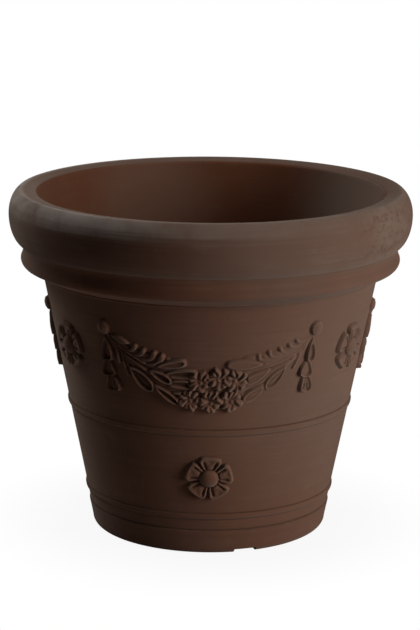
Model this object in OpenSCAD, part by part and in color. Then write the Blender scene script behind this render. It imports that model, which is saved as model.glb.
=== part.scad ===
// Festoon planter: a flared round pot with a rolled rim, banded wall and applied festoons.
// Millimetres, +Z up. The origin is on the ground, on the pot's axis; the front faces -Y.
// The pot is thrown and built up in rings, and every ornament is a sprig bedded on the wall.

/* [Pot] */
// Overall height, from the ground to the top of the rim
pot_h = 438; // [430:1:500]
// Wall's outer diameter, carried down to the ground
base_d = 295; // [270:1:330]
// Inner diameter of the mouth, at the top of the rim
mouth_d = 441; // [410:1:470]
// Wall thickness, measured square to the axis
wall_t = 14; // [10:0.5:18]

/* [Foot] */
// Height of the foot ring
foot_h = 32; // [28:1:40]
// How far the foot ring stands out from the wall
foot_proud = 1.5; // [0.5:0.1:4]
// Rounding of the foot's lower outer edge
foot_round = 8; // [3:0.5:10]
// Rounding of the foot's upper outer edge
foot_ease = 1.2; // [0.5:0.1:2.5]
// Clear height under the floor slab
floor_lift = 12; // [8:0.5:15]
// Thickness of the floor slab
floor_t = 14; // [8:0.5:15]
// Width of the ledge that carries the floor slab
ledge_w = 8; // [4:0.5:14]
// Bedding gap round the floor slab
floor_gap = 0.2; // [0.1:0.05:0.5]
// Diameter of the drain hole
drain_d = 32; // [20:1:60]
// Number of drain notches in the foot
notch_count = 3; // [2:1:6]
// Width of a drain notch
notch_w = 29; // [15:1:40]
// Height of a drain notch
notch_h = 5; // [4.5:0.5:9]
// Angle of the first notch, right of the front
notch_az = 18; // [0:1:60]

/* [Bands] */
// Height of the lower bead's middle
low_bead_z = 51.5; // [46:0.5:60]
// Distance from the collar down to the upper bead's middle
up_bead_drop = 162.5; // [159.5:0.5:169.5]
// Width of a bead, up the wall
bead_w = 8.5; // [6:0.5:10]
// How far a bead stands out from the wall
bead_proud = 2; // [1:0.1:3]

/* [Collar and rim] */
// Height of the collar ring
collar_h = 42; // [36:0.5:47]
// How far the collar stands out from the wall, at its widest
collar_proud = 24; // [20:0.2:28]
// Height of the collar's sloping underside
collar_skirt_h = 21.5; // [15:0.5:26]
// Rounding where the collar's underside meets its face
collar_round = 9; // [3:0.5:11]
// How far the collar's face draws in at the top
collar_draw = 5.5; // [1:0.5:8]
// Height of the rim roll
rim_h = 68.5; // [60:0.5:76]
// How far the rim roll stands out from the wall, at the pot's widest
rim_proud = 27.6; // [22:0.1:36]
// Half the width of the rim roll's outer curve
roll_w = 19.4; // [15:0.2:22]
// Height of the rim roll's curve above its widest line
roll_top_h = 32; // [26:0.5:36]
// How far the rim's inner corner lies below its crown
mouth_drop = 5; // [2:0.5:9]
// Rounding of the rim's inner corner
mouth_round = 4.5; // [2:0.5:7]

/* [Festoons] */
// Arc along the wall from a festoon's middle to its knobs
festoon_half_w = 137; // [134:0.5:142]
// Distance from the collar down to the knobs
knob_drop = 32.5; // [25:0.5:36.5]
// How far the blossoms hang below the knobs
festoon_sag = 73; // [68:0.5:76]
// Radius of a knob
knob_r = 11.5; // [9:0.5:13]
// How far a knob stands out
knob_proud = 8; // [5:0.5:10]
// Thickness of the disc under a knob
knob_seat_h = 2; // [1:0.5:4]
// Length of a husk drop, below its knob
drop_len = 74; // [66:1:80]
// Width of a husk drop at its lowest bell
drop_w = 26; // [20:1:30]
// How far a husk drop's axis lies under the wall's surface
drop_sink = 10; // [8:0.5:16]
// Thickness of the leaf blades
leaf_h = 3.5; // [2:0.5:5]
// Height of the leaf ribs and curled edges
rib_h = 5.5; // [5.5:0.5:8]
// Width of the garland's stem
stem_w = 5; // [3:0.5:8]
// Gap between neighbouring sprigs
sprig_gap = 0.5; // [0.3:0.1:1]

/* [Blossoms] */
// Radius of a blossom
blossom_r = 15; // [13:0.5:16]
// Petals on a blossom
blossom_petals = 9; // [6:1:12]
// Radius of a blossom petal's round end
blossom_tip_r = 4.2; // [3:0.1:5]
// Thickness of the blossom petals
blossom_h = 5; // [3:0.5:6]
// Height of the blossom petals' ribs
blossom_rib_h = 7; // [6.5:0.5:9]
// Radius of a blossom's eye
eye_r = 4.5; // [3:0.5:6]
// How far a blossom's eye stands out
eye_proud = 8.5; // [7.5:0.5:10]

/* [Rosettes] */
// Radius of a rosette
rosette_r = 31; // [26:1:34]
// How far the lower rosettes' middle lies below the middle between the beads
low_rosette_drop = 3.25; // [0:0.25:8]
// Distance from the collar down to the upper rosettes' middle
up_rosette_drop = 71; // [55:0.5:84]
// Thickness of the rosette petals
petal_h = 4; // [2.5:0.5:5]
// Height of the ribs on the rosette petals
petal_rib_h = 6; // [5.5:0.5:8]
// Radius of a rosette's boss
boss_r = 12; // [9:0.5:14]
// How far a rosette's boss stands out
boss_proud = 9; // [6:0.5:11]

/* [Hidden] */
$fn = 96;
ring_fn = 288;
PANELS = ["front", "east", "west"];
ROSETTES = ["right", "back", "left"];
SPRIGS = ["knob_left", "knob_right", "drop_left", "drop_right", "garland_left", "garland_right",
          "blossoms", "lower_rosette"];
clay = [0.28, 0.19, 0.145];
clay_rim = [0.36, 0.28, 0.235];
clay_inside = [0.24, 0.155, 0.105];

// Wall cone: its radius grows steadily from the ground to the rim
slope = (mouth_d / 2 + wall_t - base_d / 2) / pot_h;
lean = atan(slope);
function wall_r(z) = base_d / 2 + slope * z;
function inner_r(z) = wall_r(z) - wall_t;

// Levels up the pot
floor_top = floor_lift + floor_t;
floor_r = inner_r(floor_top);
rim_z = pot_h - rim_h;
collar_z = rim_z - collar_h;
knob_z = collar_z - knob_drop;
up_rosette_z = collar_z - up_rosette_drop;
up_bead_z = collar_z - up_bead_drop;
low_rosette_z = (low_bead_z + up_bead_z) / 2 - low_rosette_drop;

// Places round the pot
panel_pitch = 360 / len(PANELS);
knob_az = festoon_half_w / wall_r(knob_z) * 180 / PI;
drop_z = knob_z - (knob_r + drop_len / 2) * cos(lean);
cluster_z = knob_z - festoon_sag;

// A garland's own centre: its share of the way round to the knob, and its rise over the blossoms
garland_share = 0.59;
garland_rise = 17;
garland_az = knob_az * garland_share;
garland_z = cluster_z + garland_rise;

// Height over the wall at which ribs and domes root in the blades under them
root_h = 1;

// Radius of the sphere that shows as a dome of radius r and height h
function dome_r(r, h) = (r * r + h * h) / (2 * h);

// Points on an arc, with the angles in degrees
function arc(c, r, from, to, steps = 8) =
    [for (i = [0:steps]) let (a = from + (to - from) * i / steps) c + r * [cos(a), sin(a)]];

// Points on an arc of an ellipse with half axes rx and ry
function oval(c, rx, ry, from, to, steps = 10) =
    [for (i = [0:steps]) let (a = from + (to - from) * i / steps) c + [rx * cos(a), ry * sin(a)]];

// The layer of space over the wall between two heights, measured square to the wall
module skin(low, high) {
    inside = low / cos(lean);
    outside = high / cos(lean);
    rotate_extrude($fn = ring_fn) polygon([
        [wall_r(foot_h) + inside, foot_h], [wall_r(foot_h) + outside, foot_h],
        [wall_r(collar_z) + outside, collar_z], [wall_r(collar_z) + inside, collar_z]
    ]);
}

// Children drawn flat on the wall: x to the right, y up the wall, z straight out of it
module on_wall(az, z) {
    rotate([0, 0, az]) translate([0, -wall_r(z), z]) rotate([90 + lean, 0, 0]) children();
}

// A flat outline run straight through the wall, square to it at its own place, past every sprig
module footprint(az, z) {
    on_wall(az, z) translate([0, 0, -2 * wall_t]) linear_extrude(2 * wall_t + drop_w) children();
}

// A flat outline raised over the wall between two heights
module relief(low, high, az, z) {
    intersection() {
        skin(low, high);
        footprint(az, z) children();
    }
}

// A round dome that stands out to the height h, from a root inside what carries it
module dome(r, h, az, z) {
    intersection() {
        skin(root_h, h + 1);
        on_wall(az, z) translate([0, 0, h - dome_r(r, h)]) sphere(dome_r(r, h));
    }
}

// A leaf from its base to its tip: two arcs that meet in points
module leaf_2d(base, tip, w) {
    d = tip - base;
    len = norm(d);
    rho = (len * len + w * w) / (4 * w);
    translate(base) rotate(atan2(d.y, d.x)) intersection() {
        translate([len / 2, rho - w / 2]) circle(rho, $fn = ring_fn);
        translate([len / 2, w / 2 - rho]) circle(rho, $fn = ring_fn);
    }
}

// A teardrop from its point to its round end, grown or shrunk by a margin
module teardrop_2d(point, end, w, margin = 0) {
    d = end - point;
    reach = norm(d) - w / 2;
    r = w / 2 + margin;
    spread = asin(w / 2 / reach);
    translate(point) rotate(atan2(d.y, d.x)) polygon(concat(
        [[-margin / sin(spread), 0]],
        arc([reach, 0], r, -90 - spread, 90 + spread, 14)
    ));
}

// A band of even width along a line of points
module band_2d(points, w) {
    last = len(points) - 1;
    side = [for (i = [0:last])
        let (d = points[min(i + 1, last)] - points[max(i - 1, 0)]) w / 2 * [-d.y, d.x] / norm(d)];
    polygon(concat(
        [for (i = [0:last]) points[i] + side[i]],
        [for (i = [last:-1:0]) points[i] - side[i]]
    ));
}

// Garland layouts: x away from the festoon's middle, y up the wall, from the garland's own centre.
// A leaf is its base, its tip and its width; a drop is its point, its round end and its width.
// They are drawn in units of which there are layout_half_w in half a festoon.
layout_half_w = 137;
stem_line = [[54, 46], [49, 35], [41, 25], [26, 14], [8, 8], [-15, 5], [-38, 4]];
left_leaves = [
    [[49, 36], [24, 40], 9], [[33, 20], [15, 36], 8], [[22, 14], [3, 33], 8],
    [[11, 10], [-11, 30], 9], [[-1, 7], [-20, 26], 9], [[-14, 8], [-47, 17], 14],
    [[49, 36], [44, 15], 5.5], [[44, 28], [37, 8], 5.5], [[38, 22], [28, -6], 7],
    [[22, 13], [-16, -12], 8], [[-5, -8], [-33, -37], 12], [[2, -12], [-22, -31], 7],
    [[-16, 1], [-56, 0], 11], [[-14, -10], [-56, -12], 11], [[-20, -22], [-50, -35], 10]
];
left_drops = [[[26, 7], [-3, -19], 16], [[-1, 5], [-26, -10], 14]];
right_leaves = [
    [[49, 36], [28, 42], 8], [[38, 24], [16, 37], 8], [[27, 16], [4, 34], 8],
    [[15, 11], [-9, 30], 8], [[4, 8], [-21, 27], 9], [[-12, 7], [-50, 17], 14],
    [[49, 36], [43, 15], 5.5], [[44, 29], [35, 10], 5.5], [[38, 23], [24, 2], 7],
    [[5, 9], [-34, -12], 11], [[2, -6], [-33, -33], 15], [[-4, 8], [-50, 1], 9],
    [[-14, -12], [-52, -16], 10], [[-22, -24], [-50, -36], 9]
];
right_drops = [[[25, 8], [-5, -16], 15]];

// A layout's points or widths in millimetres
function drawn(layout) = is_list(layout)
    ? [for (part = layout) drawn(part)]
    : layout * festoon_half_w / layout_half_w;

// A garland half on the right of a festoon; the left one is mirrored
module garland_half(leaf_layout, drop_layout) {
    leaves = drawn(leaf_layout);
    drops = drawn(drop_layout);
    rib_share = 0.34;
    rim_share = 0.24;
    difference() {
        union() {
            relief(0, leaf_h, garland_az, garland_z) {
                band_2d(drawn(stem_line), stem_w);
                for (l = leaves) leaf_2d(l[0], l[1], l[2]);
                for (d = drops) teardrop_2d(d[0], d[1], d[2]);
            }
            relief(root_h, rib_h, garland_az, garland_z) {
                for (l = leaves)
                    leaf_2d(l[0] + 0.1 * (l[1] - l[0]), l[1] - 0.1 * (l[1] - l[0]), rib_share * l[2]);
                for (d = drops) difference() {
                    teardrop_2d(d[0], d[1], d[2], -0.4);
                    teardrop_2d(d[0], d[1], d[2], -rim_share * d[2]);
                }
            }
        }
        footprint(knob_az, knob_z) circle(knob_r + sprig_gap);
        footprint(knob_az, drop_z) drop_outline(sprig_gap);
        footprint(0, cluster_z) blossom_group() circle(blossom_r + sprig_gap);
    }
}

// A knob: a dome on a low disc
module knob(az) {
    relief(0, knob_seat_h, az, knob_z) circle(knob_r);
    dome(knob_r - 1, knob_proud, az, knob_z);
}

// Half widths of a husk drop down its length, as [share of the length, share of the half width]
drop_steps = [
    [0, 0.2], [0.12, 0.24], [0.28, 0.42], [0.44, 0.68],
    [0.45, 0.5], [0.56, 0.68], [0.71, 0.88],
    [0.72, 0.64], [0.84, 0.84], [1, 1]
];
function drop_y(s) = drop_len * (0.5 - s[0]);
function drop_half_w(s) = drop_w / 2 * s[1];

module drop_outline(margin) {
    right = [for (s = drop_steps) [drop_half_w(s) + margin, drop_y(s)]];
    left = [for (i = [len(right) - 1:-1:0]) [-right[i].x, right[i].y]];
    polygon(concat(right, left));
}

// A husk drop: bells turned about an axis just under the wall's surface, hanging from a knob
module drop(az) {
    bells = [for (s = drop_steps) [norm([drop_half_w(s), drop_sink]), drop_y(s)]];
    last = drop_steps[len(drop_steps) - 1];
    difference() {
        intersection() {
            skin(0, drop_w);
            on_wall(az, drop_z) translate([0, 0, -drop_sink]) rotate([-90, 0, 0])
                rotate_extrude() polygon(concat([[0, drop_y(last)], [0, drop_y(drop_steps[0])]], bells));
        }
        footprint(az, knob_z) circle(knob_r + sprig_gap);
    }
}

// One blossom's outline: round petals about a disc
module blossom_2d() {
    circle(blossom_r - blossom_tip_r);
    for (i = [1:blossom_petals]) rotate(360 * i / blossom_petals)
        translate([blossom_r - blossom_tip_r, 0]) circle(blossom_tip_r);
}

// Where the six blossoms sit, from the middle of the group, each turned a little
blossom_places = [[-12, 12], [12, 15], [32, 12], [-24, -13], [1, -15], [26, -14]];
blossom_turn = 13;
module blossom_group() {
    for (i = [0:len(blossom_places) - 1])
        translate(drawn(blossom_places[i])) rotate(blossom_turn * i) children();
}

module blossoms() {
    rib_w = 3;
    relief(0, blossom_h, 0, cluster_z) blossom_group() blossom_2d();
    relief(root_h, blossom_rib_h, 0, cluster_z) blossom_group()
        for (i = [1:blossom_petals]) rotate(360 * i / blossom_petals)
            leaf_2d([eye_r - 1, 0], [blossom_r - 1, 0], rib_w);
    relief(root_h, eye_proud, 0, cluster_z) blossom_group() circle(eye_r);
}

// A rosette's outline: broad petals, each with two shallow lobes, and a narrow gap between them
petal_count = 5;
petal_half_angle = 28;
petal_dip = 0.04;
petal_corner = 0.12;
function petal_edge(t) =
    rosette_r * (1 - petal_dip * pow(cos(90 * t), 2) - petal_corner * pow(abs(t), 6));
function polar(r, angle) = r * [cos(angle), sin(angle)];
module rosette_2d() {
    pitch = 360 / petal_count;
    gap_r = 0.45 * rosette_r;
    polygon([for (i = [0:petal_count - 1]) let (turn = 90 + pitch * i) each concat(
        [polar(gap_r, turn - pitch / 2)],
        [for (t = [-1:0.2:1]) polar(petal_edge(t), turn + petal_half_angle * t)]
    )]);
}

// A rosette: five ribbed petals round a domed boss
module rosette(az, z) {
    rib_turns = [-21, 0, 21];
    rib_w = 5;
    relief(0, petal_h, az, z) rosette_2d();
    relief(root_h, petal_rib_h, az, z)
        for (i = [1:petal_count]) rotate(90 + 360 * i / petal_count)
            for (turn = rib_turns) rotate(turn)
                leaf_2d([boss_r - 2, 0], [0.94 * rosette_r, 0], rib_w);
    dome(boss_r, boss_proud, az, z);
}

module floor_slab() {
    color(clay_inside) difference() {
        translate([0, 0, floor_lift]) cylinder(floor_t, r = floor_r - floor_gap);
        translate([0, 0, floor_lift - 1]) cylinder(floor_t + 2, d = drain_d);
    }
}

module foot_ring() {
    out_top = wall_r(foot_h) + foot_proud;
    out_low = wall_r(foot_round) + foot_proud;
    ledge_r = floor_r - ledge_w;
    color(clay) difference() {
        rotate_extrude($fn = ring_fn) polygon(concat(
            [[ledge_r, 0]],
            arc([out_low - foot_round, foot_round], foot_round, -90, 0, 6),
            arc([out_top - foot_ease, foot_h - foot_ease], foot_ease, 0, 90, 4),
            [[inner_r(foot_h), foot_h], [floor_r, floor_top], [floor_r, floor_lift], [ledge_r, floor_lift]]
        ));
        for (i = [0:notch_count - 1]) rotate([0, 0, notch_az + 360 * i / notch_count])
            translate([-notch_w / 2, -base_d, -1]) cube([notch_w, base_d, notch_h + 1]);
    }
}

module wall() {
    color(clay) rotate_extrude($fn = ring_fn) polygon([
        [inner_r(foot_h), foot_h], [wall_r(foot_h), foot_h],
        [wall_r(rim_z), rim_z], [inner_r(rim_z), rim_z]
    ]);
}

// A strip laid round the wall, with a rounded face
module bead(z) {
    r = dome_r(bead_w / 2, bead_proud);
    color(clay) rotate_extrude($fn = ring_fn) difference() {
        translate([wall_r(z), z] - (r - bead_proud) * [cos(lean), -sin(lean)]) circle(r);
        polygon([
            [0, z - bead_w], [wall_r(z - bead_w), z - bead_w],
            [wall_r(z + bead_w), z + bead_w], [0, z + bead_w]
        ]);
    }
}

module collar() {
    turn_z = collar_z + collar_skirt_h;
    face_r = wall_r(turn_z) + collar_proud;
    skirt = atan2(collar_skirt_h, face_r - wall_r(collar_z));
    face_tilt = atan2(collar_draw, rim_z - turn_z);
    color(clay) rotate_extrude($fn = ring_fn) polygon(concat(
        [[wall_r(collar_z), collar_z]],
        arc([face_r - collar_round, turn_z], collar_round, skirt - 90, face_tilt, 9),
        [[face_r - collar_draw, rim_z], [wall_r(rim_z), rim_z]]
    ));
}

module rim_roll() {
    widest_z = pot_h - roll_top_h;
    centre = [wall_r(widest_z) + rim_proud - roll_w, widest_z];
    roll_low_h = (rim_h - roll_top_h) / sin(75);
    corner_z = pot_h - mouth_drop;
    color(clay_rim) rotate_extrude($fn = ring_fn) polygon(concat(
        [[inner_r(rim_z), rim_z]],
        oval(centre, roll_w, roll_low_h, -75, 0, 8),
        oval(centre, roll_w, roll_top_h, 10, 90, 9),
        arc([inner_r(corner_z) + mouth_round, corner_z - mouth_round], mouth_round, 110, 180 - lean, 4)
    ));
}

floor_slab();
foot_ring();
wall();
bead(low_bead_z);  // lower_bead
bead(up_bead_z);  // upper_bead
collar();
rim_roll();
for (i = [0:len(PANELS) - 1]) rotate([0, 0, panel_pitch * i]) {
    side = PANELS[i];
    color(clay) knob(-knob_az);
    color(clay) knob(knob_az);
    color(clay) drop(-knob_az);
    color(clay) drop(knob_az);
    color(clay) mirror([1, 0, 0]) garland_half(left_leaves, left_drops);
    color(clay) garland_half(right_leaves, right_drops);
    color(clay) blossoms();
    color(clay) rosette(0, low_rosette_z);
}
for (i = [0:len(ROSETTES) - 1])
    color(clay) rosette(panel_pitch * (i + 0.5), up_rosette_z);
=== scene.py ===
"""Festoon planter: a flared, banded clay pot with a rolled rim and applied festoons.

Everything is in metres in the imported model's own frame: +Z up, the ground at z = 0, the front
towards -Y. The turned rings are spun from their profiles, and each sprig is a carved height
field bedded on the wall's cone. Sizes inside a sprig are written in millimetres.
"""

import logging
import math
from abc import ABC, abstractmethod
from dataclasses import dataclass
from enum import Enum

import bmesh
import bpy
import numpy as np
from mathutils import Matrix, Vector


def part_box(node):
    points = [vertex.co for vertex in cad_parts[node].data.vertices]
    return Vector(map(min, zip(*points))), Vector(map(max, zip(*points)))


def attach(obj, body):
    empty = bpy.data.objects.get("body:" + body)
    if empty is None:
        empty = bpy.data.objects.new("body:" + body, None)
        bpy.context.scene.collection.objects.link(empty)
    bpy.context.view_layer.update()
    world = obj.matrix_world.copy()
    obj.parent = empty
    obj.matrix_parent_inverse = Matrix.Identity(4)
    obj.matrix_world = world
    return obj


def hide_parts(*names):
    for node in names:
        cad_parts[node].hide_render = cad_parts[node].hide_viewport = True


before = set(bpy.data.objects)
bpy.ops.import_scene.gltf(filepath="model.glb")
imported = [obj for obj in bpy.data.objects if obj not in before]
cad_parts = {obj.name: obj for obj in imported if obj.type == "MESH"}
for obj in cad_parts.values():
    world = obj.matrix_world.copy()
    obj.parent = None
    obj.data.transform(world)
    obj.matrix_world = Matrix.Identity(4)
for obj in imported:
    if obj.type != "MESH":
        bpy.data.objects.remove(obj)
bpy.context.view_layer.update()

log = logging.getLogger("festoon_planter")

MM = 0.001
BODY = "root"
CREST = "crest"
Grid = np.ndarray
Point = tuple[float, float]
Place = tuple[float, float, float]
Extent = tuple[float, float, float, float]
Socket = bpy.types.NodeSocket
Material = bpy.types.Material
Piece = bpy.types.Object
BMesh = bmesh.types.BMesh
BMVerts = set[bmesh.types.BMVert]


class Panel(Enum):
    """The three alike panels round the pot, by their turn from the front in degrees."""

    front = 0
    east = 120
    west = 240


class Hand(Enum):
    """Which side of its festoon a sprig hangs on."""

    left = -1
    right = 1


@dataclass(frozen=True)
class PotLines:
    """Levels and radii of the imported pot, which every dressed piece keeps to."""

    foot_top: float
    foot_r: float
    ledge_top: float
    floor_top: float
    floor_r: float
    low_bead: float
    up_bead: float
    collar_low: float
    collar_r: float
    rim_low: float
    rim_r: float
    top: float
    slope: float
    wall_top_r: float
    wall_t: float = 14 * MM

    @classmethod
    def from_frame(cls) -> "PotLines":
        """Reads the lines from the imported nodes' boxes.

        Returns:
            The pot's lines in metres.
        """
        foot, wall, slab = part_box("foot_ring"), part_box("wall"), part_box("floor_slab")
        low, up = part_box("lower_bead"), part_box("upper_bead")
        collar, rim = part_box("collar"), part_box("rim_roll")
        low_z = (low[0].z + low[1].z) / 2
        up_z = (up[0].z + up[1].z) / 2
        return cls(
            foot_top=foot[1].z, foot_r=foot[1].x, ledge_top=slab[0].z, floor_top=slab[1].z,
            floor_r=slab[1].x, low_bead=low_z, up_bead=up_z, collar_low=collar[0].z,
            collar_r=collar[1].x, rim_low=wall[1].z, rim_r=rim[1].x, top=rim[1].z,
            slope=(up[1].x - low[1].x) / (up_z - low_z), wall_top_r=wall[1].x,
        )

    @property
    def lean(self) -> float:
        """Angle of the wall from upright, in radians."""
        return math.atan(self.slope)

    def wall_r(self, z: float) -> float:
        """Outer radius of the wall at a height."""
        return self.wall_top_r + self.slope * (z - self.rim_low)

    def inner_r(self, z: float) -> float:
        """Inner radius of the wall at a height."""
        return self.wall_r(z) - self.wall_t


@dataclass(frozen=True)
class Seat:
    """A place on the wall: the turn from the front in degrees, right positive, and the height."""

    azimuth: float
    z: float

    @classmethod
    def of_node(cls, node: str) -> "Seat":
        """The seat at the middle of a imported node's box.

        Args:
            node: Name of the CAD node.

        Returns:
            Its turn from the front and its middle height.
        """
        low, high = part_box(node)
        middle = (low + high) / 2
        return cls(math.degrees(math.atan2(middle.x, -middle.y)), middle.z)

    def wrap(self, lines: PotLines, x: Grid, y: Grid, h: Grid) -> Grid:
        """Sets points of the seat's tangent plane on the wall's cone.

        Args:
            lines: The pot's lines.
            x: Distances to the right along the plane, in metres.
            y: Distances up the wall, in metres.
            h: Heights square to the wall, in metres.

        Returns:
            An array of places, one row a point.
        """
        turn, c, s = math.radians(self.azimuth), math.cos(lines.lean), math.sin(lines.lean)
        # The cone that is raised by h is met at the root w, going inwards square to the plane.
        start = lines.wall_r(self.z) + y * s
        goal = start + h / c
        a = c * c - (s * s / c) ** 2
        b = start * c + goal * s * s / c
        d = start**2 + x**2 - goal**2
        w = (np.sqrt(b * b - a * d) - b) / a
        out = start + w * c
        return np.column_stack((
            out * math.sin(turn) + x * math.cos(turn),
            x * math.sin(turn) - out * math.cos(turn),
            self.z + y * c - w * s,
        ))

    def unwrap(self, lines: PotLines, place: Grid) -> Point:
        """Finds a place of the wall's surface on the seat's tangent plane.

        Args:
            lines: The pot's lines.
            place: A point on the wall, in metres.

        Returns:
            Its distances to the right and up the wall, in metres.
        """
        turn, c, s = math.radians(self.azimuth), math.cos(lines.lean), math.sin(lines.lean)
        right = place[0] * math.cos(turn) + place[1] * math.sin(turn)
        out = place[0] * math.sin(turn) - place[1] * math.cos(turn) - lines.wall_r(self.z)
        return right, out * s + (place[2] - self.z) * c


# Shared mesh steps


def ease(t: Grid) -> Grid:
    """A smooth step from 0 to 1 as t goes from 0 to 1."""
    t = np.clip(t, 0, 1)
    return t * t * (3 - 2 * t)


def ridge(distance: Grid, width: float) -> Grid:
    """A bell curve: 1 at no distance, and fading over a width."""
    return np.exp(-((distance / width) ** 2))


def soft_min(a: Grid, b: Grid, width: float) -> Grid:
    """The smaller of two distances, blended over a width."""
    share = np.clip(0.5 + 0.5 * (b - a) / width, 0, 1)
    return b + (a - b) * share - width * share * (1 - share)


def curve(start: Grid, pull: Grid, end: Grid, shares: Grid) -> list[Grid]:
    """Places on a curve that leaves its start, and reaches its end, in line with a third place."""
    return [(1 - t) ** 2 * start + 2 * t * (1 - t) * pull + t * t * end for t in shares]


def finish_mesh(bm: BMesh, name: str, sharp_angle: float = 38) -> Piece:
    """Turns a bmesh into a scene object with smooth faces and crisp arrises.

    Args:
        bm: The mesh, which is freed.
        name: Name of the object and its mesh.
        sharp_angle: Faces that meet at more degrees than this stay crisp.

    Returns:
        The object, linked into the scene.
    """
    bmesh.ops.recalc_face_normals(bm, faces=bm.faces)
    limit = math.radians(sharp_angle)
    for edge in bm.edges:
        edge.smooth = edge.calc_face_angle(math.pi) < limit
    for face in bm.faces:
        face.smooth = True
    mesh = bpy.data.meshes.new(name)
    bm.to_mesh(mesh)
    bm.free()
    piece = bpy.data.objects.new(name, mesh)
    bpy.context.scene.collection.objects.link(piece)
    return piece


def line_inside(piece: Piece, finish: Material) -> None:
    """Gives the faces that look towards the pot's axis a finish of their own.

    Args:
        piece: A dressed ring.
        finish: The finish of the pot's inside.
    """
    inward = -0.5
    piece.data.materials.append(finish)
    for face in piece.data.polygons:
        middle, normal = face.center, face.normal
        outward = normal.x * middle.x + normal.y * middle.y
        if outward < inward * math.hypot(middle.x, middle.y):
            face.material_index = 1


def seat_piece(piece: Piece, finish: Material, slot: str, *nodes: str) -> None:
    """Dresses a piece, sets it on the pot's body and lets it stand for its CAD nodes.

    Args:
        piece: The finished object.
        finish: Its material.
        slot: Not used.
        *nodes: CAD nodes that it stands for.
    """
    piece.data.materials.clear()
    piece.data.materials.append(finish)
    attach(piece, BODY)
    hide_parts(*nodes)
    log.info("%s: %d faces", piece.name, len(piece.data.polygons))


# Finishes


class Pattern(Enum):
    """The finishes' noise patterns: scale, detail and roughness."""

    CLOUD = (9, 4, 0.55)
    PATCH = (26, 5, 0.6)
    STREAK = (1, 4, 0.6)
    FINE = (420, 3, 0.6)
    TOOTH = (900, 2, 0.5)
    LUMPS = (70, 3, 0.5)
    RUBBED = (7, 2, 0.5)
    BROKEN = (95, 7, 0.8)
    DRAWN = (0.6, 6, 0.8)
    BLOTCH = (16, 5, 0.6)


class Nodes:
    """A short hand for wiring the nodes of a material or a world."""

    def __init__(self, owner: bpy.types.ID) -> None:
        """Clears the owner's nodes."""
        self.owner = owner
        owner.use_nodes = True
        self.tree = owner.node_tree
        self.tree.nodes.clear()

    def add(self, kind: str, inputs: dict | None = None, **settings: object) -> bpy.types.Node:
        """Adds a node, with its inputs linked or set.

        Args:
            kind: The node's type name.
            inputs: Values or output sockets by input name or number.
            **settings: Properties of the node.

        Returns:
            The node.
        """
        node = self.tree.nodes.new(kind)
        for key, value in settings.items():
            setattr(node, key, value)
        for key, value in (inputs or {}).items():
            if isinstance(value, Socket):
                self.tree.links.new(value, node.inputs[key])
            else:
                node.inputs[key].default_value = value
        return node

    def math(self, operation: str, *values: object) -> Socket:
        """The result of a Math node."""
        return self.add("ShaderNodeMath", dict(enumerate(values)), operation=operation).outputs[0]

    def vector(self, operation: str, *values: object, result: str = "Value") -> Socket:
        """The named result of a Vector Math node."""
        node = self.add("ShaderNodeVectorMath", dict(enumerate(values)), operation=operation)
        return node.outputs[result]

    def radius(self, place: Socket) -> Socket:
        """A place's distance from the pot's axis."""
        return self.vector("LENGTH", self.vector("MULTIPLY", place, (1, 1, 0), result="Vector"))

    def noise(self, vector: Socket, pattern: Pattern) -> Socket:
        """The strength of a noise pattern."""
        scale, detail, roughness = pattern.value
        inputs = {"Vector": vector, "Scale": scale, "Detail": detail, "Roughness": roughness}
        return self.add("ShaderNodeTexNoise", inputs).outputs["Fac"]

    def band(self, value: Socket, limits: Point) -> Socket:
        """A value's share of the way from the first limit to the second, within 0 and 1."""
        inputs = {"Value": value, "From Min": limits[0], "From Max": limits[1]}
        return self.add("ShaderNodeMapRange", inputs, interpolation_type="SMOOTHSTEP").outputs[0]

    def mix(self, share: object, a: object, b: object) -> Socket:
        """A blend of two colours, each a socket or linear RGB."""
        a, b = (c if isinstance(c, Socket) else (*c, 1) for c in (a, b))
        return self.add("ShaderNodeMix", {0: share, 6: a, 7: b}, data_type="RGBA").outputs[2]

    def tint(self, under: Socket, over: Place, value: Socket, limits: Point,
             share: float) -> Socket:
        """Lays a colour over another where a value has passed a band.

        Args:
            under: The colour below.
            over: The colour that is laid.
            value: The pattern that decides where.
            limits: Its value where the colour starts, and where it is full.
            share: How much of the colour shows there.

        Returns:
            The new colour.
        """
        return self.mix(self.math("MULTIPLY", self.band(value, limits), share), under, over)

    def shown(self) -> Socket:
        """1 for the rays that make the picture, and 0 for those that only light it."""
        path = self.add("ShaderNodeLightPath").outputs
        direct = self.math("MAXIMUM", path["Is Camera Ray"], path["Is Glossy Ray"])
        return self.math("MAXIMUM", direct, path["Is Transmission Ray"])


@dataclass(frozen=True)
class Haze:
    """A painted pool of light: its middle, its reach, and how much of it shows."""

    centre: Place
    reach: float
    share: float


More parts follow.
